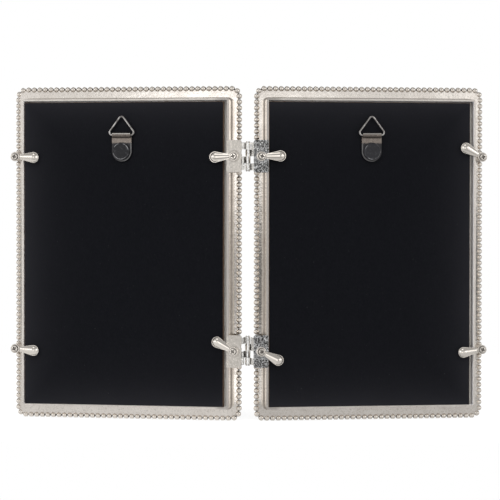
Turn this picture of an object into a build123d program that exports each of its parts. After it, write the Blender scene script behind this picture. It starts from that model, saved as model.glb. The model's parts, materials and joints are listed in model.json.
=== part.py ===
from build123d import *
import math
import os

# Hinged double photo frame: two cast leaves with beaded borders, joined by two small hinges.
# Each leaf is drawn flat in its own axes: X runs from the hinge axis to the free edge, Y from
# the picture side to the back, and Z up from the surface that the pair stands on.
# Left and right are as seen from the picture side.

# Stance: each leaf is turned forward from flat by this many degrees
leaf_turn = 11.5

# The print that sets the format
print_width = 101.6
print_height = 152.4
print_thickness = 0.25

# Border of a leaf, from its outer edge inwards
bead_diameter = 2.8
bead_gap = 0.15
bead_bite = 1.0
side_flat = 2.35
end_flat = 3.45
rim_wall = 1.15
recess_play_across = 3.8
recess_play_up = 0.6
lip_width = 3.6
outer_corner_radius = 5.2
rim_corner_radius = 1.8
rim_edge_round = 0.3
foot_groove_width = 0.45
foot_groove_depth = 0.3
foot_flat = 0.25

# Depths of the casting, from the foremost point of its beads backwards
closed_gap = 0.5
crest_depth = 0.15
valley_depth = 0.75
sight_bevel_width = 0.9
sight_bevel_depth = 0.6
plate_depth = 2.1

# Sheets that lie in the recess, with the room left at each side of them
glass_thickness = 2.0
print_front_air = 0.05
filler_thickness = 1.3
board_thickness = 2.7
cover_thickness = 0.25
glass_side_room = 0.4
board_side_room = 1.1
sheet_top_room = 0.6
cover_inset = 0.15
rim_above_cover = 0.1

# How far each board has slid from the middle of its recess towards the leaf's free edge
board_slide = {"right": 0.6, "left": -0.9}

# Posts and screws of the turn buttons
post_inset = 2.3
post_diameter = 4.4
post_web = 2.4
post_sink = 0.45
fitting_rise = 48.6
screw_diameter = 2.0
screw_length = 6.0
screw_end_room = 0.5
thread_clearance = 0.02
screw_head_diameter = 3.2
screw_head_height = 0.95
screw_head_round = 0.4
cross_span = 2.2
cross_slot = 0.55
cross_depth = 0.6
cross_turns = (12, 50, 75, 28)

# Turn button: a boss on the screw and a teardrop lever with a pad under its tip
boss_diameter = 4.7
boss_height = 1.3
boss_edge_round = 0.3
button_clearance = 0.05
button_lift = 0.1
button_reach = 12.3
tip_width = 5.4
neck_width = 2.6
neck_reach = 3.0
lever_thickness = 0.8
dome_height = 1.35
dome_ledge = 0.25
pad_end_room = 0.25
pad_side_room = 0.3
pad_clearance = 0.1

# Hinges
hinge_sheet = 0.8
hinge_plate_width = 7.5
hinge_plate_height = 16.2
hinge_plate_corner = 0.8
hinge_screw_room = 0.15
flange_bite = 0.2
flange_edge_room = 0.6
flange_foot = 0.4
knuckle_diameter = 2.9
knuckle_pitch = 3.5
knuckle_gap = 0.1
knuckle_rows = 4
stub_clearance = 0.9
pin_diameter = 1.5
pin_clearance = 0.05
pin_head_diameter = 2.4
pin_head_height = 0.5

# Strap hanger with its triangular ring and rivet
rivet_drop = 32.7
hanger_offset = 0.45
strap_width = 10.1
strap_sheet = 0.5
strap_rise = 8.1
roll_diameter = 2.6
roll_width = 9.4
ring_wire = 1.0
ring_clearance = 0.08
ring_base = 15.2
ring_height = 10.2
ring_bend = 1.4
rivet_head_diameter = 8.8
rivet_head_height = 1.0
rivet_head_round = 0.45
rivet_shank_diameter = 3.0
rivet_clearance = 0.05
clinch_diameter = 5.2
clinch_height = 0.6
clinch_room = 0.1

# How far the tip of each turn button stands above the level, in degrees
tip_raise = {
    "right": {"outer_upper": -2.5, "outer_lower": -5, "hinge_upper": -2.5, "hinge_lower": 29},
    "left": {"outer_upper": 28, "outer_lower": -8, "hinge_upper": 1, "hinge_lower": -27},
}

# Sizes across the leaf
flange_offset = knuckle_diameter / 2 - flange_bite
axis_to_edge = flange_offset + hinge_sheet + flange_edge_room
plate_inset = bead_diameter - bead_bite
side_rim = bead_diameter + side_flat
end_rim = bead_diameter + end_flat
side_border = side_rim + rim_wall
end_border = end_rim + rim_wall
recess_width = print_width + recess_play_across
recess_height = print_height + recess_play_up
leaf_width = recess_width + 2 * side_border
leaf_height = recess_height + 2 * end_border
leaf_centre = axis_to_edge + leaf_width / 2
mid_height = leaf_height / 2
board_width = recess_width - 2 * board_side_room
sheet_height = recess_height - sheet_top_room

# Depths from the hinge axis, sheet by sheet
front = closed_gap / 2
bead_depth = front + bead_diameter / 2
plate_back = front + plate_depth
glass_back = plate_back + glass_thickness
print_front = glass_back + print_front_air
print_back = print_front + print_thickness
filler_back = print_back + filler_thickness
board_back = filler_back + board_thickness
cover_back = board_back + cover_thickness
rim_back = cover_back + rim_above_cover
hinge_back = rim_back + hinge_sheet
button_front = hinge_back + button_lift
head_front = button_front + boss_height + button_lift
strap_back = cover_back + 2 * strap_sheet

# Places that several pieces share
rivet_height = leaf_height - rivet_drop
roll_height = rivet_height + strap_rise
roll_depth = cover_back + roll_diameter / 2
fitting_heights = {"upper": mid_height + fitting_rise, "lower": mid_height - fitting_rise}
post_columns = {"hinge": axis_to_edge + post_inset, "outer": axis_to_edge + leaf_width - post_inset}
post_places = {
    f"{column}_{level}": (x, z)
    for column, x in post_columns.items()
    for level, z in fitting_heights.items()
}


def slab(outline, start, end):
    # An outline drawn across and up, given depth from start to end
    plane = Plane(origin=(0, start, 0), x_dir=(1, 0, 0), z_dir=(0, -1, 0))
    return extrude(plane * outline, amount=start - end)


def disc(diameter, x, z, start, end):
    return slab(Pos(x, z) * Circle(diameter / 2), start, end)


def leaf_outline(side_inset, end_inset, corner_radius=0):
    # The leaf's rectangle drawn in from its sides and from its top and bottom
    width = leaf_width - 2 * side_inset
    height = leaf_height - 2 * end_inset
    outline = RectangleRounded(width, height, corner_radius) if corner_radius else Rectangle(width, height)
    return Pos(leaf_centre, mid_height) * outline


def moulding_bar(length):
    # One side of the front plate, mitred at both ends: a convex face between the bead row and
    # a bevelled sight edge
    sight = end_border + lip_width
    bevel_start = sight - sight_bevel_width
    valley = front + valley_depth
    crest = ((bead_diameter + bevel_start) / 2, front + crest_depth)
    section = [
        Polyline((bevel_start, valley), (sight, valley + sight_bevel_depth), (sight, plate_back),
                 (plate_inset, plate_back), (plate_inset, valley), (bead_diameter, valley)),
        ThreePointArc((bead_diameter, valley), crest, (bevel_start, valley)),
    ]
    across = Plane(origin=(0, 0, 0), x_dir=(0, 0, 1), z_dir=(-1, 0, 0))
    bar = extrude(across * make_face(section), amount=-length)
    mitre = Polyline((0, 0), (length, 0), (length - sight, sight), (sight, sight), close=True)
    return bar & slab(make_face(mitre), 0, plate_back)


def moulding():
    # Four mitred bars, rounded off at the outer corners
    near, far = axis_to_edge, axis_to_edge + leaf_width
    level, upright = moulding_bar(leaf_width), moulding_bar(leaf_height)
    ring = Pos(near, 0, 0) * level + Pos(far, 0, leaf_height) * Rot(0, 180, 0) * level
    ring += Pos(near, 0, leaf_height) * Rot(0, 90, 0) * upright
    ring += Pos(far, 0, 0) * Rot(0, -90, 0) * upright
    blank = leaf_outline(plate_inset, plate_inset, outer_corner_radius - plate_inset)
    return ring & slab(blank, 0, plate_back)


def rim():
    # Wall round the recess, rounded along its back edge
    ring = leaf_outline(side_rim, end_rim, rim_corner_radius) - leaf_outline(side_border, end_border)
    wall = slab(ring, plate_back - post_sink, rim_back)
    return fillet(wall.edges().group_by(Axis.Y)[-1], rim_edge_round)


def foot_groove():
    side_inset, end_inset = side_rim - foot_groove_width, end_rim - foot_groove_width
    outline = leaf_outline(side_inset, end_inset, rim_corner_radius + foot_groove_width)
    ring = outline - leaf_outline(side_rim, end_rim, rim_corner_radius)
    return slab(ring, plate_back - foot_groove_depth, plate_back)


def post(column, x, z):
    # A round post webbed to the rim; the hinge plate sits on those beside the hinge
    end = rim_back if column == "hinge" else hinge_back
    reach = side_rim + rim_wall / 2 - post_inset
    side = 1 if column == "hinge" else -1
    root = plate_back - post_sink
    web = Pos(x + side * reach / 2, z) * Rectangle(reach, post_web)
    return disc(post_diameter, x, z, root, end) + slab(web, root, rim_back)


def beads():
    # A row of balls evenly spaced along the rounded outline, their seams on the free front edge
    radius = bead_diameter / 2
    row = leaf_outline(radius, radius, outer_corner_radius - radius).wire()
    count = round(row.length / (bead_diameter + bead_gap))
    balls = []
    for share in (i / count for i in range(count)):
        place = row @ share
        along = row % share
        outward = along.rotate(Axis.Z, -90)
        seat = Plane((place.X, bead_depth, place.Y), (outward.X, -1, outward.Y), (along.X, 0, along.Y))
        balls.append(seat * Sphere(radius))
    return balls


def casting():
    body = moulding() - foot_groove() + rim()
    for name, (x, z) in post_places.items():
        body += post(name.split("_")[0], x, z)
    body += beads()
    hole = screw_diameter + 2 * thread_clearance
    for x, z in post_places.values():
        body -= disc(hole, x, z, head_front - screw_length - screw_end_room, hinge_back)
    return body - Pos(leaf_centre, 0, 0) * Box(2 * leaf_width, 2 * rim_back, 2 * foot_flat)


def sheet(width, height, start, end, centre=leaf_centre):
    # A flat sheet standing on the floor of the recess
    return slab(Pos(centre, end_border + height / 2) * Rectangle(width, height), start, end)


def back_board(centre, hanger_centre):
    # Hardboard with a rivet hole, pocketed in front for the rivet's clenched end
    hole = rivet_shank_diameter + 2 * rivet_clearance
    pocket = clinch_diameter + 2 * clinch_room
    pocket_back = filler_back + clinch_height + 2 * clinch_room
    board = sheet(board_width, sheet_height, filler_back, board_back, centre)
    board -= disc(pocket, hanger_centre, rivet_height, filler_back, pocket_back)
    return board - disc(hole, hanger_centre, rivet_height, filler_back, board_back)


def board_cover(centre, hanger_centre):
    # Black paper on the back of the board, trimmed a little short of its edges
    width = board_width - 2 * cover_inset
    height = sheet_height - 2 * cover_inset
    hole = rivet_shank_diameter + 2 * rivet_clearance
    paper = Pos(centre, end_border + cover_inset + height / 2) * Rectangle(width, height)
    return slab(paper, board_back, cover_back) - disc(hole, hanger_centre, rivet_height, board_back, cover_back)


def across_rod(diameter, length, centre):
    # A rod lying across the leaf on the ring's pivot line
    return Pos(centre, roll_depth, roll_height) * Rot(0, 90, 0) * Cylinder(diameter / 2, length)


def hanger_strap(centre):
    # A folded strap: its loop is a roll round the ring's base wire
    outline = Pos(centre, rivet_height) * Circle(strap_width / 2)
    outline += Pos(centre, rivet_height + strap_rise / 2) * Rectangle(strap_width, strap_rise)
    hole = rivet_shank_diameter + 2 * rivet_clearance
    strap = slab(outline, cover_back, strap_back) + across_rod(roll_diameter, roll_width, centre)
    strap -= across_rod(ring_wire + 2 * ring_clearance, 2 * strap_width, centre)
    return strap - disc(hole, centre, rivet_height, cover_back, strap_back)


def hanger_ring(centre):
    # Wire bent to a triangle with its base in the strap's roll
    corners = [(-ring_base / 2, 0), (ring_base / 2, 0), (0, ring_height)]
    plane = Plane(origin=(centre, roll_depth, roll_height), x_dir=(1, 0, 0), z_dir=(0, -1, 0))
    path = plane * FilletPolyline(*corners, radius=ring_bend, close=True)
    start = Plane(path @ 0, z_dir=path % 0)
    return sweep(start * Circle(ring_wire / 2), path=path)


def hanger_rivet(centre):
    # A broad flat head on the strap and a clenched end in the board's pocket
    clinch_front = filler_back + clinch_room
    head = disc(rivet_head_diameter, centre, rivet_height, strap_back, strap_back + rivet_head_height)
    head = fillet(head.edges().group_by(Axis.Y)[-1], rivet_head_round)
    shank = disc(rivet_shank_diameter, centre, rivet_height, clinch_front, strap_back)
    clinch_back = clinch_front + clinch_height
    return head + shank + disc(clinch_diameter, centre, rivet_height, clinch_front, clinch_back)


def turn_button(x, z, turn):
    # Drawn with its screw on the Y axis and its lever along X, then turned and set on its post
    tip_centre = button_reach - tip_width / 2
    neck_circle = Pos(neck_reach, 0) * Circle(neck_width / 2)
    tip_circle = Pos(tip_centre, 0) * Circle(tip_width / 2)
    plate = slab(make_hull(neck_circle.edges() + tip_circle.edges()), 0, lever_thickness)
    boss = disc(boss_diameter, 0, 0, 0, boss_height)
    boss = fillet(boss.edges().group_by(Axis.Y)[-1], boss_edge_round)
    pad_drop = button_front - rim_back - pad_clearance
    plate_end = flange_offset + hinge_plate_width - post_columns["hinge"]
    plate_reach = math.hypot(plate_end, hinge_plate_height / 2)
    pad_start = plate_reach + pad_side_room
    pad_end = button_reach - pad_end_room
    pad = disc(pad_end - pad_start, (pad_start + pad_end) / 2, 0, -pad_drop, 0)
    hole = disc(screw_diameter + 2 * button_clearance, 0, 0, 0, boss_height)
    body = plate + lever_dome(tip_centre) + boss + pad - hole
    return Pos(x, button_front, z) * Rot(0, turn, 0) * body


def lever_dome(tip_centre):
    # The cap of a long drop turned about an axis sunk below the lever's face
    tip_half = tip_width / 2 - dome_ledge
    neck_half = neck_width / 2 - dome_ledge
    tip_radius = (tip_half**2 + dome_height**2) / (2 * dome_height)
    sink = tip_radius - dome_height
    neck_radius = math.hypot(neck_half, sink)
    neck_circle = Pos(neck_reach, 0) * Circle(neck_radius)
    tip_circle = Pos(tip_centre, 0) * Circle(tip_radius)
    drop = make_hull(neck_circle.edges() + tip_circle.edges())
    length = button_reach + tip_radius
    above = Pos(length / 2, tip_radius) * Rectangle(2 * length, 2 * tip_radius)
    cap = Pos(length / 2, sink + tip_radius, 0) * Box(2 * length, 2 * tip_radius, 4 * tip_radius)
    return Pos(0, lever_thickness - sink, 0) * (revolve(drop & above, axis=Axis.X) & cap)


def button_screw(x, z, cross_turn):
    head = disc(screw_head_diameter, 0, 0, 0, screw_head_height)
    head = fillet(head.edges().group_by(Axis.Y)[-1], screw_head_round)
    cross = Rectangle(cross_span, cross_slot) + Rectangle(cross_slot, cross_span)
    head -= slab(cross, screw_head_height - cross_depth, screw_head_height)
    shank = disc(screw_diameter, 0, 0, -screw_length, 0)
    return Pos(x, head_front, z) * Rot(0, cross_turn, 0) * (head + shank)


def row_span(row):
    # Bottom and top of a knuckle row, counted from the top, about the hinge's middle
    top = (knuckle_rows / 2 - row) * knuckle_pitch
    return top - knuckle_pitch + knuckle_gap / 2, top - knuckle_gap / 2


def tab(row, start):
    # A flange of the hinge's sheet, bent forward from the plate in one row
    low, high = row_span(row)
    return Pos(flange_offset, start, low) * Box(hinge_sheet, hinge_back - start, high - low, align=Align.MIN)


def hinge_leaf(height, knuckles, stub):
    # Plate on the casting's back, tabs bent forward and knuckles on the hinge axis
    across = flange_offset + hinge_plate_width / 2
    plate = slab(Pos(across, 0) * RectangleRounded(hinge_plate_width, hinge_plate_height, hinge_plate_corner),
                 rim_back, hinge_back)
    body = plate - disc(screw_diameter + 2 * hinge_screw_room, post_columns["hinge"], 0, rim_back, hinge_back)
    bore = pin_diameter / 2 + pin_clearance
    for row in knuckles:
        low, high = row_span(row)
        body += tab(row, -flange_foot)
        body += Pos(0, 0, (low + high) / 2) * Cylinder(knuckle_diameter / 2, high - low)
    body += tab(stub, knuckle_diameter / 2 + stub_clearance)
    body -= Cylinder(bore, knuckle_rows * knuckle_pitch)
    return Pos(0, 0, height) * body


def hinge_pin(height):
    length = knuckle_rows * knuckle_pitch
    pin = Cylinder(pin_diameter / 2, length)
    head = Cylinder(pin_head_diameter / 2, pin_head_height)
    for side in (-1, 1):
        pin += Pos(0, 0, side * (length + pin_head_height) / 2) * head
    return Pos(0, 0, height) * pin


def leaf_pieces(side):
    # Every piece of one leaf, drawn on the right-hand side of the hinge axis
    glass_width = recess_width - 2 * glass_side_room
    board_centre = leaf_centre + board_slide[side]
    hanger_centre = board_centre + hanger_offset
    knuckles, stub = ((0, 2), 3) if side == "right" else ((1, 3), 0)
    pieces = {
        "frame": casting(),
        "glass": sheet(glass_width, sheet_height, plate_back, glass_back),
        "photo": sheet(print_width, print_height, print_front, print_back),
        "filler_card": sheet(glass_width, sheet_height, print_back, filler_back),
        "back_board": back_board(board_centre, hanger_centre),
        "board_cover": board_cover(board_centre, hanger_centre),
        "hanger_strap": hanger_strap(hanger_centre),
        "hanger_ring": hanger_ring(hanger_centre),
        "hanger_rivet": hanger_rivet(hanger_centre),
    }
    screws = []
    for (place, (x, z)), cross_turn in zip(post_places.items(), cross_turns):
        raised = tip_raise[side][place]
        pieces[f"{place}_button"] = turn_button(x, z, 180 + raised if place.startswith("outer") else -raised)
        screws.append(button_screw(x, z, cross_turn))
    pieces["button_screws"] = Compound(screws)
    for level, height in fitting_heights.items():
        pieces[f"{level}_hinge_leaf"] = hinge_leaf(height, knuckles, stub)
    return pieces


def assembly():
    # Both leaves turned to their stance, with the left one mirrored, and the two hinge pins
    pieces = {f"{level}_hinge_pin": hinge_pin(height) for level, height in fitting_heights.items()}
    for name, piece in leaf_pieces("right").items():
        pieces[f"right_{name}"] = Rot(0, 0, -leaf_turn) * piece
    for name, piece in leaf_pieces("left").items():
        pieces[f"left_{name}"] = Rot(0, 0, leaf_turn) * mirror(piece, about=Plane.YZ)
    return pieces


def main():
    # The origin is the middle of the pair's footprint, on the surface it stands on
    pieces = assembly()
    box = Compound(list(pieces.values())).bounding_box()
    to_origin = Pos(0, -box.center().Y, -foot_flat)
    os.makedirs("parts", exist_ok=True)
    for name, piece in pieces.items():
        export_step(to_origin * piece, f"parts/{name}.step")
    print("hinge axis", tuple(to_origin.position))


if __name__ == "__main__":
    main()
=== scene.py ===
import json
import math
import bpy
from mathutils import Matrix, Vector


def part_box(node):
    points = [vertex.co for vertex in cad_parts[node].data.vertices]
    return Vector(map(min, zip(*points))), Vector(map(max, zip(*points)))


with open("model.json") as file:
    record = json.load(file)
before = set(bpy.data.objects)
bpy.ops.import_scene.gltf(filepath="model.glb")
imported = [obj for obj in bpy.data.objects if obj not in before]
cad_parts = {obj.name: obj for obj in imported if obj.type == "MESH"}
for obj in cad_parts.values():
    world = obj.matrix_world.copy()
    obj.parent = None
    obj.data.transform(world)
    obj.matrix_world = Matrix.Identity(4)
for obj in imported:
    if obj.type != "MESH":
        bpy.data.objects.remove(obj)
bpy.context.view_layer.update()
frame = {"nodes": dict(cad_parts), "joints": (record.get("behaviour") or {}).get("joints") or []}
pieces = frame["nodes"]
scene = bpy.context.scene
scene.view_settings.view_transform = "Standard"
print("frame loaded:", len(pieces), "pieces")

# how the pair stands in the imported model, in degrees and metres
stance = {
    "turn": 11.5,  # each leaf, from flat
    "axisY": next(j for j in frame["joints"] if j["name"] == "fold")["pos_m"][1],
    "nearEdge": 0.00265,  # from the hinge axis to the leaf
    "leafWide": 0.1180,
    "leafTall": 0.1678,
    "footCut": 0.00025,  # the flat on the lowest beads
    "pivotsAcross": (0.00495, 0.11835),  # screws of the turn buttons
    "pivotsUp": (0.0353, 0.1325),
}
leafTurn = math.radians(stance["turn"])
farEdge = stance["nearEdge"] + stance["leafWide"]
white = (1.0, 1.0, 1.0, 1.0)


class Wire:
    # an output socket that can be used in sums: each operation adds a Math node
    def __init__(self, bench, socket):
        self.bench = bench
        self.socket = socket

    def reckon(self, operation, first, second=0.0):
        return self.bench.add("ShaderNodeMath", {"operation": operation}, {0: first, 1: second})

    def __add__(self, other):
        return self.reckon("ADD", self, other)

    def __radd__(self, other):
        return self.reckon("ADD", other, self)

    def __sub__(self, other):
        return self.reckon("SUBTRACT", self, other)

    def __rsub__(self, other):
        return self.reckon("SUBTRACT", other, self)

    def __mul__(self, other):
        return self.reckon("MULTIPLY", self, other)

    def __rmul__(self, other):
        return self.reckon("MULTIPLY", other, self)

    def __truediv__(self, other):
        return self.reckon("DIVIDE", self, other)

    def __rtruediv__(self, other):
        return self.reckon("DIVIDE", other, self)

    def __pow__(self, other):
        return self.reckon("POWER", self, other)

    def __rpow__(self, other):
        return self.reckon("POWER", other, self)

    def __abs__(self):
        return self.reckon("ABSOLUTE", self)

    def least(self, other):
        return self.reckon("MINIMUM", self, other)

    def most(self, other):
        return self.reckon("MAXIMUM", self, other)

    def sine(self):
        return self.reckon("SINE", self)

    def bearing(self, ahead):
        return self.reckon("ARCTAN2", self, ahead)


class Bench:
    # a node tree being wired up
    def __init__(self, tree):
        self.tree = tree
        tree.nodes.clear()

    def add(self, kind, settings=None, sockets=None, out=0):
        made = self.tree.nodes.new(kind)
        for name, value in (settings or {}).items():
            setattr(made, name, value)
        for name, value in (sockets or {}).items():
            if isinstance(value, Wire):
                self.tree.links.new(value.socket, made.inputs[name])
            else:
                made.inputs[name].default_value = value
        return Wire(self, made.outputs[out]) if made.outputs else None

    def ease(self, value, low, high, start=0.0, end=1.0):
        # from start to end, smoothly, as value goes from low to high
        sockets = {"Value": value, "From Min": low, "From Max": high, "To Min": start, "To Max": end}
        return self.add("ShaderNodeMapRange", {"interpolation_type": "SMOOTHSTEP"}, sockets)

    def vary(self, noise, middle, spread):
        # middle, more or less by the noise
        return middle + (noise - 0.5) * spread

    def slide(self, share, first, second):
        # numbers, from first to second
        return first + (second - first) * share

    def blend(self, share, first, second):
        # colours, from first to second
        first, second = [(*c, 1.0) if isinstance(c, tuple) else c for c in (first, second)]
        return self.add("ShaderNodeMix", {"data_type": "RGBA"}, {0: share, 6: first, 7: second}, out=2)

    def noise(self, where, scale, detail=2.0, rough=0.5):
        sockets = {"Vector": where, "Scale": scale, "Detail": detail, "Roughness": rough}
        return self.add("ShaderNodeTexNoise", {}, sockets)

    def stretch(self, where, factors):
        return self.add("ShaderNodeVectorMath", {"operation": "MULTIPLY"}, {0: where, 1: factors})

    def facing(self, where, way):
        sockets = {0: where, 1: Vector(way).normalized()}
        return self.add("ShaderNodeVectorMath", {"operation": "DOT_PRODUCT"}, sockets, out="Value")

    def place(self):
        return self.add("ShaderNodeTexCoord", out="Object")

    def split(self, where):
        parts = self.add("ShaderNodeSeparateXYZ", {}, {0: where}).socket.node.outputs
        return [Wire(self, part) for part in parts]

    def leafAxes(self, where):
        # across from the hinge axis, outward to the back, and up, in the leaf's own axes
        sideways, towards, height = self.split(where)
        sideways = abs(sideways)
        depth = towards - stance["axisY"]
        across = sideways * math.cos(leafTurn) - depth * math.sin(leafTurn)
        outward = sideways * math.sin(leafTurn) + depth * math.cos(leafTurn)
        return across, outward, height + stance["footCut"]

    def leafVector(self, where):
        across, outward, up = self.leafAxes(where)
        return self.add("ShaderNodeCombineXYZ", {}, {0: across, 1: outward, 2: up})

    def apart(self, across, up, spotAcross, spotUp):
        # distance from a spot, in the plane of the leaf
        return ((across - spotAcross) ** 2.0 + (up - spotUp) ** 2.0) ** 0.5

    def fromPivot(self, across, up):
        # distance from the nearest turn button's screw
        away = None
        for pivotAcross in stance["pivotsAcross"]:
            for pivotUp in stance["pivotsUp"]:
                gap = self.apart(across, up, pivotAcross, pivotUp)
                away = gap if away is None else away.least(gap)
        return away

    def crevice(self, reach):
        # 1 deep in a corner of the piece itself, 0 on open faces
        settings = {"samples": 12, "only_local": True}
        return 1 - self.add("ShaderNodeAmbientOcclusion", settings, {"Distance": reach}, out="AO")

    def softEdge(self, radius):
        return self.add("ShaderNodeBevel", {"samples": 6}, {"Radius": radius})

    def bump(self, height, strength, distance, normal=None):
        sockets = {"Height": height, "Strength": strength, "Distance": distance}
        if normal is not None:
            sockets["Normal"] = normal
        return self.add("ShaderNodeBump", {}, sockets)

    def rays(self):
        # 1 where the camera looks, straight or through glass, and 1 where a reflection looks
        looks = self.add("ShaderNodeLightPath").socket.node.outputs
        camera = Wire(self, looks["Is Camera Ray"])
        through = Wire(self, looks["Is Transmission Ray"])
        return camera.most(through), Wire(self, looks["Is Glossy Ray"])


def makeFinish(name, wire):
    # a new material whose surface is the Principled sockets that wire() returns
    made = bpy.data.materials.new(name)
    made.use_nodes = True
    bench = Bench(made.node_tree)
    shader = bench.add("ShaderNodeBsdfPrincipled", {}, wire(bench))
    bench.add("ShaderNodeOutputMaterial", {}, {"Surface": shader})
    return made


def dress(material, *names):
    for name in names:
        pieces[name].data.materials.clear()
        pieces[name].data.materials.append(material)


def bothLeaves(*names):
    return [f"{side}_{name}" for side in ("left", "right") for name in names]


# in the finishes, a noise is scale, detail and roughness, a bump is strength and depth, a rough of two
# numbers is its middle and spread, and any other pair is where a mask starts and where it is full

# cast leaf, silver plated: polished beads, a grained and pitted back, a filed rim with painted shade beside
# the hinge, a dull inside, tarnish and painted shade in the crevices
silverPlate = {
    "bright": (0.865, 0.812, 0.752),
    "dull": (0.80, 0.743, 0.683),
    "beads": (0.88, 0.815, 0.74),
    "pits": (0.56, 0.515, 0.465),
    "rimShadeByHinge": (0.58, 0.54, 0.50),  # painted shade on the rim beside the hinge
    "inside": (0.86, 0.86, 0.872),
    # tarnish and painted shade, laid into the crevices
    "tarnishAndShade": (0.11, 0.082, 0.062),
    "backRough": 0.09,
    "beadRough": 0.15,
    "rimRough": 0.32,
    "insideRough": 0.45,
    "roughSpread": 0.10,
    "grimeAndShadeRough": 0.25,
    "sideBorder": 0.0063,  # from the leaf's edge to the recess
    "endBorder": 0.0074,
    "recessEdge": (-0.0001, 0.0),
    "insideTop": (0.0090, 0.0088),
    "insideLip": (0.00225, 0.0024),  # the lip in front stays silver
    "beadInset": (0.0026, 0.0019),
    "beadDepth": (0.0036, 0.0031),
    "rimDepth": (0.0084, 0.0088),
    "footInset": (0.0034, 0.0040),  # the corner between the flat border and the rim
    "footDepth": (0.0050, 0.0040),
    "freeSide": (0.0080, 0.0070),
    "hingeSide": (0.016, 0.012),
    "blotch": (130.0, 3.0, 0.55),
    "blotchRange": (0.35, 0.7),
    "pitting": (1250.0, 2.0, 0.6),
    "pitRange": (0.50, 0.72),
    "pitShare": 0.5,
    "grain": (850.0, 3.0, 0.6),
    "grainBump": (0.55, 0.000022),
    "grainOffRim": 0.6,  # share of the grain that filing took off
    "drag": (6.0, 3.0, 0.6),
    "dragStretch": (60.0, 900.0, 60.0),
    "dragBump": (0.25, 0.00004),
    "wobble": (85.0, 1.0),
    "wobbleDepth": 0.00003,
    "grimeAndShadeReach": 0.0006,
    "grimeAndShadeReachBeads": 0.0018,  # more, among the beads
    "grimeAndShadeBeads": (0.0036, 0.0030),
    "grimeAndShadeRange": (0.08, 0.32),
    "grimeAndShadeGrain": 0.2,
    "grimeAndShadeShare": 0.90,
    "grimeAndShadeOffFoot": 0.50,
    "grimeAndShadeOffFreeSide": 0.60,
    "edgeRound": 0.00018,
}


def wireSilverPlate(b):
    look = silverPlate
    where = b.place()
    across, outward, up = b.leafAxes(where)
    sideInset = (across - stance["nearEdge"]).least(farEdge - across)
    endInset = up.least(stance["leafTall"] - up)
    inset = sideInset.least(endInset)
    recessed = (sideInset - look["sideBorder"]).least(endInset - look["endBorder"])
    bead = b.ease(inset, *look["beadInset"]) * b.ease(outward, *look["beadDepth"])
    rim = b.ease(outward, *look["rimDepth"])
    inside = b.ease(outward, *look["insideTop"]) * b.ease(outward, *look["insideLip"])
    inside = inside * b.ease(recessed, *look["recessEdge"])
    foot = b.ease(inset, *look["footInset"]) * b.ease(outward, *look["footDepth"])
    freeSide = b.ease(farEdge - across, *look["freeSide"])

    blotch = b.noise(where, *look["blotch"])
    grain = b.noise(where, *look["grain"])
    drag = b.noise(b.stretch(b.leafVector(where), look["dragStretch"]), *look["drag"])
    pits = b.ease(b.noise(where, *look["pitting"]), *look["pitRange"]) * (1 - bead) * look["pitShare"]
    # tarnish and painted shade: darker in the crevices the piece makes with itself, reaching further among
    # the beads
    reach = look["grimeAndShadeReach"] + b.ease(inset, *look["grimeAndShadeBeads"]) * look["grimeAndShadeReachBeads"]
    grimeAndShade = b.ease(b.vary(grain, b.crevice(reach), look["grimeAndShadeGrain"]), *look["grimeAndShadeRange"]) * (1 - inside)

    colour = b.blend(b.ease(blotch, *look["blotchRange"]), look["bright"], look["dull"])
    colour = b.blend(pits, colour, look["pits"])
    colour = b.blend(inside, colour, look["inside"])
    colour = b.blend(bead, colour, look["beads"])
    # painted shade: the rim darker beside the hinge
    colour = b.blend(rim * b.ease(across, *look["hingeSide"]), colour, look["rimShadeByHinge"])
    tarnishAndShadeMask = grimeAndShade * (look["grimeAndShadeShare"] - look["grimeAndShadeOffFoot"] * foot) * (1 - look["grimeAndShadeOffFreeSide"] * freeSide)
    colour = b.blend(tarnishAndShadeMask, colour, look["tarnishAndShade"])

    rough = b.vary(blotch, look["backRough"], look["roughSpread"]) + grimeAndShade * look["grimeAndShadeRough"]
    for name, mask in (("beadRough", bead), ("rimRough", rim), ("insideRough", inside)):
        rough = rough + (look[name] - look["backRough"]) * mask

    strength, depth = look["grainBump"]
    strength = strength * (1 - bead) * (1 - look["grainOffRim"] * rim)
    normal = b.bump(grain, strength, depth, b.softEdge(look["edgeRound"]))
    strength, depth = look["dragBump"]
    normal = b.bump(drag, strength * (1 - bead), depth, normal)
    normal = b.bump(b.noise(where, *look["wobble"]), 1 - bead, look["wobbleDepth"], normal)
    return {"Base Color": colour, "Metallic": 1 - inside, "Roughness": rough, "Normal": normal}


# polished turn buttons and screws, a little duller at the free edges; painted shade round the screw heads, in
# their recesses and in crevices
polishedNickel = {
    "bright": (0.93, 0.875, 0.805),
    "dull": (0.87, 0.81, 0.74),
    "tarnishAndShade": (0.055, 0.045, 0.04),
    "rough": (0.06, 0.08),
    "satin": 0.16,  # added at the free edges
    "satinFrom": (0.055, 0.065),
    "scratchRough": 0.08,
    "grimeAndShadeRough": 0.25,
    "headRadius": 0.0017,
    "headLine": (0.00035, 0.0001),
    "headShare": 0.75,
    "recess": (0.0010, 0.0006),
    "recessShare": 0.7,
    "grimeAndShadeReach": 0.0012,
    "grimeAndShadeRange": (0.16, 0.50),
    "grimeAndShadeShare": 0.85,
    "smear": (420.0, 3.0, 0.55),
    "scratch": (22.0, 4.0, 0.65),
    "scratchStretch": (300.0, 300.0, 40.0),
    "scratchBump": (0.10, 0.00003),
    "edgeRound": 0.00012,
}


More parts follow.
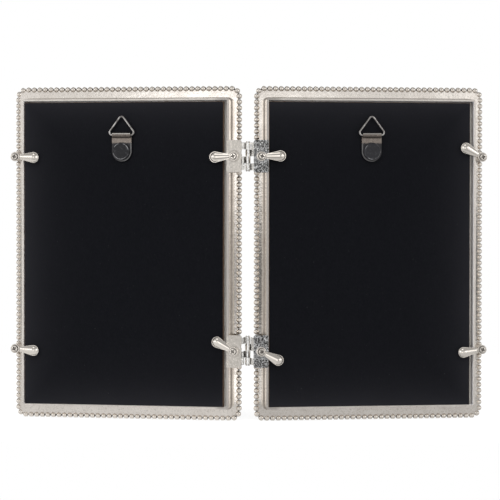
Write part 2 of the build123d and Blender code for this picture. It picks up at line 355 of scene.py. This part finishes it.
def wirePolishedNickel(b):
    look = polishedNickel
    where = b.place()
    across, _, up = b.leafAxes(where)
    away = b.fromPivot(across, up)
    smear = b.noise(where, *look["smear"])
    scratch = b.noise(b.stretch(where, look["scratchStretch"]), *look["scratch"])
    # painted shade: a dark ring round each screw head and in its recess, joined with tarnish and painted
    # shade in crevices
    headLine = b.ease(abs(away - look["headRadius"]), *look["headLine"])
    recess = b.ease(away, *look["recess"])
    grimeAndShade = b.ease(b.crevice(look["grimeAndShadeReach"]), *look["grimeAndShadeRange"])
    grimeAndShade = grimeAndShade.most(headLine * look["headShare"]).most(recess * look["recessShare"])
    colour = b.blend(smear, look["bright"], look["dull"])
    colour = b.blend(grimeAndShade * look["grimeAndShadeShare"], colour, look["tarnishAndShade"])
    rough = b.vary(smear, *look["rough"]) + b.ease(across, *look["satinFrom"]) * look["satin"]
    rough = b.vary(scratch, rough, look["scratchRough"]) + grimeAndShade * look["grimeAndShadeRough"]
    normal = b.bump(scratch, *look["scratchBump"], b.softEdge(look["edgeRound"]))
    return {"Base Color": colour, "Metallic": 1.0, "Roughness": rough, "Normal": normal}


# stamped hinge leaves and pins, their plates leaning a little out from the casting: the left ones are dented
# with a painted reflection of dark mottle, the right ones plain; paler painted knuckles, painted shade round
# the bosses
hingeNickel = {
    "bright": {"left": (0.93, 0.93, 0.93), "right": (0.83, 0.775, 0.705)},
    "dull": {"left": (0.80, 0.80, 0.80), "right": (0.74, 0.695, 0.64)},
    "tarnishAndShade": (0.07, 0.06, 0.05),
    "knuckleLight": (0.95, 0.94, 0.92),  # painted light: the knuckles between the leaves made paler
    "knuckleLightAcross": (0.0030, 0.0026),
    "knuckleLightDepth": (0.0089, 0.0085),
    "rough": (0.08, 0.08),
    "gritRough": 0.06,
    "grimeAndShadeRough": 0.2,
    "mottle": (1150.0, 2.0, 0.6),
    "mottleRange": (0.46, 0.60),
    "mottleAway": (0.0020, 0.0055),  # from the screw
    "mottleShare": {"left": 0.75, "right": 0.05},
    "bossRadius": 0.0027,
    "bossLine": (0.0006, 0.0002),
    "bossShare": 0.3,
    "grimeAndShadeReach": 0.0006,
    "grimeAndShadeRange": (0.35, 0.85),
    "grimeAndShadeShare": 0.8,
    "smear": (420.0, 3.0, 0.55),
    "grit": (2400.0, 2.0, 0.6),
    "fineDents": (700.0, 2.0, 0.6),
    "wideDents": (300.0, 1.0),
    "wideShare": 0.6,
    "dentDepth": {"left": 0.00015, "right": 0.00002},
    "lean": 0.05,
    "edgeRound": 0.00012,
}


def wireHingeNickel(side):
    look = hingeNickel

    def wire(b):
        where = b.place()
        across, outward, up = b.leafAxes(where)
        away = b.fromPivot(across, up)
        smear = b.noise(where, *look["smear"])
        grit = b.noise(where, *look["grit"])
        # painted shade: a dark ring round each button's boss on the plate
        bossLine = b.ease(abs(away - look["bossRadius"]), *look["bossLine"])
        grimeAndShade = b.ease(b.crevice(look["grimeAndShadeReach"]), *look["grimeAndShadeRange"]).most(bossLine * look["bossShare"])
        # painted light: the knuckles between the leaves paler
        knuckleLight = b.ease(across, *look["knuckleLightAcross"]) * b.ease(outward, *look["knuckleLightDepth"])
        # painted reflection: dark mottle on the dented left plates, fading near the screws
        mottle = b.ease(b.noise(where, *look["mottle"]), *look["mottleRange"])
        mottle = mottle * b.ease(away, *look["mottleAway"]) * look["mottleShare"][side]
        colour = b.blend(smear, look["bright"][side], look["dull"][side])
        colour = b.blend(mottle, colour, look["tarnishAndShade"])
        colour = b.blend(knuckleLight, colour, look["knuckleLight"])
        colour = b.blend(grimeAndShade * look["grimeAndShadeShare"], colour, look["tarnishAndShade"])
        rough = b.vary(grit, b.vary(smear, *look["rough"]), look["gritRough"]) + grimeAndShade * look["grimeAndShadeRough"]
        dents = b.noise(where, *look["fineDents"]) + b.noise(where, *look["wideDents"]) * look["wideShare"]
        height = dents * look["dentDepth"][side] + across * look["lean"]  # metres
        normal = b.bump(height, 1.0, 1.0, b.softEdge(look["edgeRound"]))
        return {"Base Color": colour, "Metallic": 1.0, "Roughness": rough, "Normal": normal}
    return wire


def rivetSpot(side):
    # where a hanger's rivet is: across its leaf, and up
    low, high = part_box(f"{side}_hanger_rivet")
    middle = [(a + b) / 2 for a, b in zip(low, high)]
    across = abs(middle[0]) * math.cos(leafTurn) - (middle[1] - stance["axisY"]) * math.sin(leafTurn)
    return across, middle[2] + stance["footCut"]


# straps of the hangers: a painted highlight line on the roll with a painted shadow under it, brown below it,
# black round the rivet with painted highlights along its edges
antiqueNickel = {
    # painted highlight along the top of the roll
    "line": (0.80, 0.77, 0.73),
    "worn": (0.33, 0.285, 0.25),
    "dark": (0.25, 0.212, 0.187),
    # painted highlight along the strap's edges round the rivet
    "black": (0.055, 0.054, 0.057),
    "edge": (0.24, 0.236, 0.236),
    # painted shadow under the roll and painted shade in crevices
    "shadeTone": (0.02, 0.018, 0.017),
    "rough": (0.25, 0.2),
    "blackRough": 0.08,
    "lineSmooth": 0.08,
    "grimeAndShadeRough": 0.2,
    "brownFrom": (0.0036, 0.0046),  # above the rivet
    "brownRagged": 0.002,
    "halfWide": 0.00505,
    "edgeWide": (0.000352, 0.000132),
    "edgeShare": (0.85, 0.7),  # middle and spread
    "rollUp": 0.0081,
    "rollRadius": 0.0013,
    "shadowFoot": (-1.5, -1.1),  # in radii from the roll's middle
    "shadowTop": (0.1, -0.35),
    "shadowShare": 0.5,
    "lineUp": 0.55,
    "lineHalf": (0.30, 0.12),
    "lineDepth": (0.0100, 0.0104),
    "lineShare": (0.8, 0.4),  # middle and spread
    "grimeAndShadeReach": 0.0022,
    "grimeAndShadeRange": (0.12, 0.55),
    "grimeAndShadeShare": 0.92,
    "patina": (900.0, 4.0, 0.6),
    "patinaRange": (0.30, 0.70),
    "fleck": (2600.0, 2.0, 0.6),
    "fleckShare": 0.3,
    "bump": (0.22, 0.00004),
    "edgeRound": 0.0002,
}


def wireAntiqueNickel(side):
    look = antiqueNickel
    rivetAcross, rivetUp = rivetSpot(side)

    def wire(b):
        where = b.place()
        across, outward, up = b.leafAxes(where)
        above = up - rivetUp
        patina = b.noise(where, *look["patina"])
        fleck = b.noise(where, *look["fleck"])
        grimeAndShade = b.ease(b.crevice(look["grimeAndShadeReach"]), *look["grimeAndShadeRange"])
        brown = b.ease(b.vary(patina, above, look["brownRagged"]), *look["brownFrom"])
        # painted highlight: a pale line along the strap's edges round the rivet
        inFromEdge = look["halfWide"] - b.apart(across, above.least(0.0), rivetAcross, 0.0)
        edge = b.ease(inFromEdge, *look["edgeWide"]) * (1 - brown) * b.vary(fleck, *look["edgeShare"])
        # painted shadow under the roll
        onRoll = (above - look["rollUp"]) / look["rollRadius"]
        shadow = b.ease(onRoll, *look["shadowFoot"]) * b.ease(onRoll, *look["shadowTop"])
        # painted highlight: a bright line along the top of the roll
        line = b.ease(abs(onRoll - look["lineUp"]), *look["lineHalf"]) * b.ease(outward, *look["lineDepth"])
        colour = b.blend(b.ease(patina, *look["patinaRange"]), look["worn"], look["dark"])
        colour = b.blend(brown, look["black"], colour)
        colour = b.blend(edge, colour, look["edge"])
        colour = b.blend((grimeAndShade * look["grimeAndShadeShare"]).most(shadow * look["shadowShare"]), colour, look["shadeTone"])
        colour = b.blend(line * b.vary(patina, *look["lineShare"]), colour, look["line"])
        rough = b.vary(patina, *look["rough"]) + grimeAndShade * look["grimeAndShadeRough"]
        rough = rough + (1 - brown) * look["blackRough"] - line * look["lineSmooth"]
        height = b.slide(look["fleckShare"], patina, fleck)
        normal = b.bump(height, *look["bump"], b.softEdge(look["edgeRound"]))
        return {"Base Color": colour, "Metallic": 1.0, "Roughness": rough, "Normal": normal}
    return wire


# drawn steel wire of the rings
ringWire = {
    "bright": (0.60, 0.575, 0.555),
    "dark": (0.20, 0.185, 0.175),
    "rough": (0.20, 0.15),
    "spots": (380.0, 3.0, 0.6),
    "spotRange": (0.36, 0.70),
    "drawing": (1100.0, 3.0, 0.6),
    "bump": (0.3, 0.00005),
}


def wireRingWire(b):
    look = ringWire
    where = b.place()
    drawing = b.noise(where, *look["drawing"])
    spots = b.ease(b.noise(where, *look["spots"]), *look["spotRange"])
    return {
        "Base Color": b.blend(spots, look["bright"], look["dark"]),
        "Metallic": 1.0,
        "Roughness": b.vary(drawing, *look["rough"]),
        "Normal": b.bump(drawing, *look["bump"]),
    }


# black japanned rivets with faint turning rings and a rubbed lip
blackRivet = {
    # painted shade: the right rivet's paint darker than the left's, for the light on each side
    "paint": {"left": (0.011, 0.011, 0.0135), "right": (0.0058, 0.0058, 0.0075)},
    "lighterTone": (0.045, 0.045, 0.05),
    "worn": (0.22, 0.22, 0.225),
    "rough": (0.36, 0.25),
    "shine": 0.35,
    "faceRadius": 0.00395,
    "lip": (0.00028, 0.00008),
    "scuff": (330.0, 3.0, 0.6),
    "scuffRange": (0.45, 0.62),
    "patches": (900.0, 3.0, 0.6),
    "patchRange": (0.50, 0.80),
    "patchHeight": 0.5,
    "ringPitch": 7000.0,  # radians per metre
    "ringSway": 3.0,
    "ringHeight": 0.175,
    "bump": (0.3, 0.00005),
    "edgeRound": 0.0003,
}


def wireBlackRivet(side):
    look = blackRivet
    rivetAcross, rivetUp = rivetSpot(side)

    def wire(b):
        where = b.place()
        across, _, up = b.leafAxes(where)
        away = b.apart(across, up, rivetAcross, rivetUp)
        patches = b.noise(where, *look["patches"])
        scuff = b.ease(b.noise(where, *look["scuff"]), *look["scuffRange"])
        lip = b.ease(abs(away - look["faceRadius"]), *look["lip"]) * scuff
        rings = (away * look["ringPitch"] + patches * look["ringSway"]).sine()
        colour = b.blend(b.ease(patches, *look["patchRange"]), look["paint"][side], look["lighterTone"])
        height = patches * look["patchHeight"] + rings * look["ringHeight"]
        return {
            "Base Color": b.blend(lip, colour, look["worn"]),
            "Roughness": b.vary(patches, *look["rough"]),
            "Specular IOR Level": look["shine"],
            "Normal": b.bump(height, *look["bump"], b.softEdge(look["edgeRound"])),
        }
    return wire


# black paper on the boards: fine fibres, a little dust and a painted sheen that lightens the margins
blackPaper = {
    "black": (0.0024, 0.0027, 0.0040),
    "fibre": (0.0052, 0.0056, 0.0074),
    "lighterTone": (0.015, 0.015, 0.018),
    "dust": (0.12, 0.12, 0.12),
    "rough": (0.58, 0.15),
    "shine": 0.06,
    "sideEdge": 0.0075,  # from the leaf's edge to the paper's
    "lowEdge": 0.0075,
    "topEdge": 0.0078,
    "margin": 0.006,  # the painted sheen halves over this
    "marginShare": (0.80, 0.5),  # middle and spread
    "fibres": (1900.0, 4.0, 0.65),
    "fibreStretch": (1.0, 1.0, 0.45),
    "fibreRange": (0.3, 0.75),
    "clouds": (45.0, 3.0, 0.5),
    "specks": (1500.0, 1.0),
    "speckRange": (0.76, 0.84),
    "speckShare": 0.35,
    "bump": (0.35, 0.00006),
}


def wireBlackPaper(b):
    look = blackPaper
    where = b.place()
    across, _, up = b.leafAxes(where)
    fibres = b.noise(b.stretch(where, look["fibreStretch"]), *look["fibres"])
    clouds = b.noise(where, *look["clouds"])
    specks = b.ease(b.noise(where, *look["specks"]), *look["speckRange"])
    inset = (farEdge - look["sideEdge"] - across).least(up - look["lowEdge"])
    inset = inset.least(stance["leafTall"] - look["topEdge"] - up)
    # painted sheen: lighter towards the paper's outer, top and bottom edges
    margin = 0.5 ** (inset.most(0.0) / look["margin"])
    colour = b.blend(b.ease(fibres, *look["fibreRange"]), look["black"], look["fibre"])
    colour = b.blend(margin * b.vary(clouds, *look["marginShare"]), colour, look["lighterTone"])
    return {
        "Base Color": b.blend(specks * look["speckShare"], colour, look["dust"]),
        "Roughness": b.vary(clouds, *look["rough"]),
        "Specular IOR Level": look["shine"],
        "Normal": b.bump(fibres, *look["bump"]),
    }


# hardboard, pressed brown fibre in layers
hardboard = {
    "light": (0.17, 0.105, 0.065),
    "dark": (0.075, 0.045, 0.027),
    "rough": (0.82, 0.2),
    "fibres": (900.0, 5.0, 0.7),
    "layerStretch": (1.0, 4.0, 1.0),
    "flecks": (2400.0, 2.0),
    "fleckShare": 0.3,
    "lightFrom": (0.35, 0.65),
    "bump": (0.6, 0.00012),
}


def wireHardboard(b):
    look = hardboard
    where = b.place()
    fibres = b.noise(b.stretch(b.leafVector(where), look["layerStretch"]), *look["fibres"])
    mixed = b.slide(look["fleckShare"], fibres, b.noise(where, *look["flecks"]))
    return {
        "Base Color": b.blend(b.ease(mixed, *look["lightFrom"]), look["dark"], look["light"]),
        "Roughness": b.vary(fibres, *look["rough"]),
        "Normal": b.bump(fibres, *look["bump"]),
    }


# grey pulp card behind the print
greyCard = {
    "light": (0.64, 0.625, 0.59),
    "dark": (0.47, 0.455, 0.42),
    "speck": (0.12, 0.11, 0.10),
    "rough": (0.85, 0.1),
    "pulp": (1400.0, 4.0, 0.7),
    "specks": (2600.0, 1.0),
    "speckRange": (0.66, 0.74),
    "speckShare": 0.6,
    "bump": (0.4, 0.00008),
}


def wireGreyCard(b):
    look = greyCard
    where = b.place()
    pulp = b.noise(where, *look["pulp"])
    specks = b.ease(b.noise(where, *look["specks"]), *look["speckRange"]) * look["speckShare"]
    return {
        "Base Color": b.blend(specks, b.blend(pulp, look["dark"], look["light"]), look["speck"]),
        "Roughness": b.vary(pulp, *look["rough"]),
        "Normal": b.bump(pulp, *look["bump"]),
    }


# blank print paper with a pearl surface
printPaper = {
    "white": (0.86, 0.85, 0.825),
    "shade": (0.80, 0.79, 0.765),
    "rough": (0.34, 0.12),
    "clouds": (18.0, 2.0),
    "cloudRange": (0.35, 0.75),
    "pearl": (2200.0, 2.0),
    "bump": (0.12, 0.00003),
}


def wirePrintPaper(b):
    look = printPaper
    where = b.place()
    pearl = b.noise(where, *look["pearl"])
    clouds = b.ease(b.noise(where, *look["clouds"]), *look["cloudRange"])
    return {
        "Base Color": b.blend(clouds, look["white"], look["shade"]),
        "Roughness": b.vary(pearl, *look["rough"]),
        "Normal": b.bump(pearl, *look["bump"]),
    }


# picture glass with a faint film, clear to shadow rays so that the print behind it is lit
pictureGlass = {
    "tint": (0.985, 0.995, 0.992, 1.0),
    "index": 1.5,
    "film": (30.0, 3.0),
    "filmRange": (0.55, 0.9),
    "filmRough": (0.0, 0.05),  # clean, and under the film
}


def makePictureGlass():
    look = pictureGlass
    made = bpy.data.materials.new("pictureGlass")
    made.use_nodes = True
    b = Bench(made.node_tree)
    film = b.noise(b.place(), *look["film"])
    glass = b.add("ShaderNodeBsdfPrincipled", {}, {
        "Base Color": look["tint"],
        "Roughness": b.ease(film, *look["filmRange"], *look["filmRough"]),
        "IOR": look["index"],
        "Transmission Weight": 1.0,
    })
    clear = b.add("ShaderNodeBsdfTransparent", {}, {"Color": look["tint"]})
    shadow = b.add("ShaderNodeLightPath", out="Is Shadow Ray")
    both = b.add("ShaderNodeMixShader", {}, {0: shadow, 1: glass, 2: clear})
    b.add("ShaderNodeOutputMaterial", {}, {"Surface": both})
    return made


dress(makeFinish("silverPlate", wireSilverPlate), *bothLeaves("frame"))
buttons = [f"{place}_{level}_button" for place in ("hinge", "outer") for level in ("upper", "lower")]
dress(makeFinish("polishedNickel", wirePolishedNickel), *bothLeaves("button_screws", *buttons))
print("castings, buttons and screws finished")

for side in ("left", "right"):
    hinges = [f"{side}_upper_hinge_leaf", f"{side}_lower_hinge_leaf"]
    if side == "right":
        hinges += ["upper_hinge_pin", "lower_hinge_pin"]
    dress(makeFinish(f"{side}HingeNickel", wireHingeNickel(side)), *hinges)
    dress(makeFinish(f"{side}AntiqueNickel", wireAntiqueNickel(side)), f"{side}_hanger_strap")
    dress(makeFinish(f"{side}BlackRivet", wireBlackRivet(side)), f"{side}_hanger_rivet")
dress(makeFinish("ringWire", wireRingWire), *bothLeaves("hanger_ring"))
print("hinges and hangers finished")

dress(makeFinish("blackPaper", wireBlackPaper), *bothLeaves("board_cover"))
dress(makeFinish("hardboard", wireHardboard), *bothLeaves("back_board"))
dress(makeFinish("greyCard", wireGreyCard), *bothLeaves("filler_card"))
dress(makeFinish("printPaper", wirePrintPaper), *bothLeaves("photo"))
dress(makePictureGlass(), *bothLeaves("glass"))
print("boards, prints and glass finished")

# white to the camera; polished metal sees pale walls, a glare round the camera, a bright window on each side
# with a darker band across it and a darker corner before it, patches of light behind, and a grey ceiling.
# Turns are degrees from the camera's side of the room, heights are slopes.
room = {
    "swing": 0.38,
    "lift": 0.0068,
    "fill": 0.55,  # for dull surfaces
    "away": 0.38,  # ceiling and floor
    "wallHeight": (0.42, 0.16),
    "wall": 0.70,
    "wallFront": (0.0, 0.35),
    "behind": 0.80,
    "patches": (3.2, 1.0),
    "patchSpread": 2.2,
    "crossing": (12.0, -12.0),  # turn over which the left side becomes the right
    "glare": 0.65,
    "glareTurn": (11.0, 6.0),
    "windowLeft": 1.4,
    "windowRight": 0.80,
    "windowNear": (16.0, 18.5),
    "windowEndLeft": 27.0,
    "windowEndRight": 23.7,
    "windowSoft": 0.7,
    "windowTop": (0.045, 0.037),
    "windowFoot": (-0.108, -0.096),
    "windowBeyond": 0.22,  # share that is left above and below
    "farLeft": 0.28,  # added past the windows
    "farRight": 0.55,
    "farFrom": (1.2, 3.5),
    "lowRight": 0.26,  # taken off low down on the right
    "lowFrom": (-0.045, -0.075),
    "ripple": (26.0, 2.0, 0.5),
    "bandLeft": 0.24,
    "bandRight": 0.10,
    "bandMiddle": -0.026,
    "bandHalf": (0.0462, 0.0198),
    "bandRipple": 0.02,
    "bandTurn": (9.0, 17.0),
    "bandAhead": 0.75,  # share that is left straight ahead
    "cornerLeft": 0.60,
    "cornerRight": 0.02,
    "cornerTurn": 16.0,
    "cornerHalf": (5.0, 3.0),
    "cornerRipple": 4.0,
    "cornerHeight": (0.20, 0.12),
    "lampTone": 0.9,
    "lampSpread": (0.955, 0.985),
    "lamps": (
        (0.15, 0.47, 0.87),
        (0.78, 0.55, 0.30),
        (-0.80, 0.52, 0.30),
        (-0.22, -0.80, 0.56),
        (0.45, -0.85, 0.27),
    ),
}


def makeRoom():
    world = bpy.data.worlds.new("room")
    scene.world = world
    world.use_nodes = True
    b = Bench(world.node_tree)
    where = b.add("ShaderNodeTexCoord", out="Generated")
    sideways, towards, height = b.split(where)
    rise = height + room["lift"]
    turn = sideways.bearing(towards) * math.degrees(1.0) + room["swing"]
    leftToRight = b.ease(turn, *room["crossing"])
    turn = abs(turn)
    front = b.ease(towards, *room["wallFront"])
    ripple = b.noise(where, *room["ripple"])

    def leftOrRight(name):
        return b.slide(leftToRight, room[name + "Left"], room[name + "Right"])

    pastWindow = turn - leftOrRight("windowEnd")
    level = b.ease(rise, *room["windowTop"]) * b.ease(rise, *room["windowFoot"])
    inWindow = b.ease(pastWindow, room["windowSoft"], -room["windowSoft"]) * b.ease(turn, *room["windowNear"])
    inWindow = inWindow * b.slide(level, room["windowBeyond"], 1.0)

    behind = b.vary(b.noise(where, *room["patches"]), room["behind"], room["patchSpread"])
    wall = b.slide(front, behind, room["wall"])
    wall = wall - room["lowRight"] * leftToRight * b.ease(rise, *room["lowFrom"]) * front
    wall = wall + leftOrRight("far") * b.ease(pastWindow, *room["farFrom"]) * front
    wall = wall + leftOrRight("window") * inWindow + b.ease(turn, *room["glareTurn"]) * room["glare"]
    tone = b.slide(b.ease(abs(rise), *room["wallHeight"]), room["away"], wall)

    offBand = abs(b.vary(ripple, rise - room["bandMiddle"], room["bandRipple"]))
    inBand = b.ease(offBand, *room["bandHalf"]) * b.ease(turn, *room["bandTurn"], room["bandAhead"], 1.0)
    tone = b.slide(inBand * front, tone, leftOrRight("band"))
    offCorner = b.vary(ripple, abs(turn - room["cornerTurn"]), room["cornerRipple"])
    inCorner = b.ease(offCorner, *room["cornerHalf"]) * b.ease(abs(rise), *room["cornerHeight"])
    tone = b.slide(inCorner, tone, leftOrRight("corner"))
    for way in room["lamps"]:
        tone = tone + b.ease(b.facing(where, way), *room["lampSpread"]) * room["lampTone"]

    seen, mirrored = b.rays()
    strength = b.slide(seen, b.slide(mirrored, room["fill"], tone), 1.0)
    shown = b.add("ShaderNodeBackground", {}, {"Color": white, "Strength": strength})
    b.add("ShaderNodeOutputWorld", {}, {"Surface": shown})


# pale table top that keeps a soft shadow, and is greyer in the metal
tableTop = {
    "near": 0.12,
    "far": -0.55,
    "half": 0.9,
    "drop": 0.0001,
    "paint": (0.90, 0.90, 0.90, 1.0),
    "glow": 1.10,
    "glowShare": 0.72,
    "mirroredLeft": (0.72, 0.72, 0.72),
    "mirroredRight": (0.56, 0.56, 0.56),
    "crossing": (0.015, -0.015),
}


def makeTableTop():
    look = tableTop
    near, far, half, level = look["near"], look["far"], look["half"], -look["drop"]
    corners = [(-half, far, level), (half, far, level), (half, near, level), (-half, near, level)]
    mesh = bpy.data.meshes.new("tableTop")
    mesh.from_pydata(corners, [], [(0, 1, 2, 3)])
    top = bpy.data.objects.new("tableTop", mesh)
    scene.collection.objects.link(top)
    paint = bpy.data.materials.new("tableTop")
    paint.use_nodes = True
    b = Bench(paint.node_tree)
    seen, mirrored = b.rays()
    lit = b.add("ShaderNodeBsdfDiffuse", {}, {"Color": look["paint"]})
    glow = b.add("ShaderNodeEmission", {}, {"Color": white, "Strength": look["glow"]})
    sideways = b.split(b.place())[0]
    tone = b.blend(b.ease(sideways, *look["crossing"]), look["mirroredLeft"], look["mirroredRight"])
    grey = b.add("ShaderNodeEmission", {}, {"Color": tone, "Strength": 1.0})
    shown = b.add("ShaderNodeMixShader", {}, {0: seen * look["glowShare"], 1: lit, 2: glow})
    both = b.add("ShaderNodeMixShader", {}, {0: mirrored, 1: shown, 2: grey})
    b.add("ShaderNodeOutputMaterial", {}, {"Surface": both})
    mesh.materials.append(paint)


# soft boxes, all aimed at the middle of the pair
softBoxes = {
    "overheadBox": {"spot": (0.10, 0.55, 1.05), "wide": 1.1, "tall": 0.7, "watts": 9.0},
    "leftBox": {"spot": (0.95, 0.75, 0.45), "wide": 0.6, "tall": 0.9, "watts": 5.5},
    "rightBox": {"spot": (-1.00, 0.55, 0.55), "wide": 0.6, "tall": 0.9, "watts": 5.0},
    "pictureSideBox": {"spot": (-0.25, -1.05, 0.70), "wide": 1.0, "tall": 0.8, "watts": 7.0},
}
softBoxAim = Vector((0.0, 0.0, 0.085))


def makeSoftBoxes():
    for name, look in softBoxes.items():
        lamp = bpy.data.lights.new(name, "AREA")
        lamp.shape = "RECTANGLE"
        lamp.size = look["wide"]
        lamp.size_y = look["tall"]
        lamp.energy = look["watts"]
        box = bpy.data.objects.new(name, lamp)
        box.location = look["spot"]
        box.rotation_euler = (softBoxAim - Vector(look["spot"])).to_track_quat("-Z", "Y").to_euler()
        box.visible_camera = False
        box.visible_glossy = False
        box.visible_transmission = False
        scene.collection.objects.link(box)


# camera: metres, radians, and the focal length in pixels of the 500 pixel frame
shot = {
    "spot": (-0.02358, 1.310627, 0.112209),
    "yaw": 0.017248,
    "pitch": -0.020511,
    "roll": 0.001218,
    "focal": 2607.1,
    "frame": 500.0,
    "sensor": 36.0,  # millimetres
    "clip": (0.05, 50.0),
}


def makeCamera():
    yaw, pitch, roll = shot["yaw"], shot["pitch"], shot["roll"]
    ahead = Vector((math.sin(yaw) * math.cos(pitch), -math.cos(yaw) * math.cos(pitch), math.sin(pitch)))
    level = ahead.cross(Vector((0.0, 0.0, 1.0))).normalized()
    above = level.cross(ahead)
    right = level * math.cos(roll) + above * math.sin(roll)
    top = above * math.cos(roll) - level * math.sin(roll)
    lens = bpy.data.cameras.new("camera")
    lens.sensor_width = shot["sensor"]
    lens.lens = shot["focal"] * shot["sensor"] / shot["frame"]
    lens.clip_start, lens.clip_end = shot["clip"]
    camera = bpy.data.objects.new("camera", lens)
    axes = Matrix((right, top, -ahead)).transposed().to_4x4()
    camera.matrix_world = Matrix.Translation(shot["spot"]) @ axes
    scene.collection.objects.link(camera)
    scene.camera = camera


makeRoom()
makeTableTop()
makeSoftBoxes()
makeCamera()
print("room, lights and camera set")
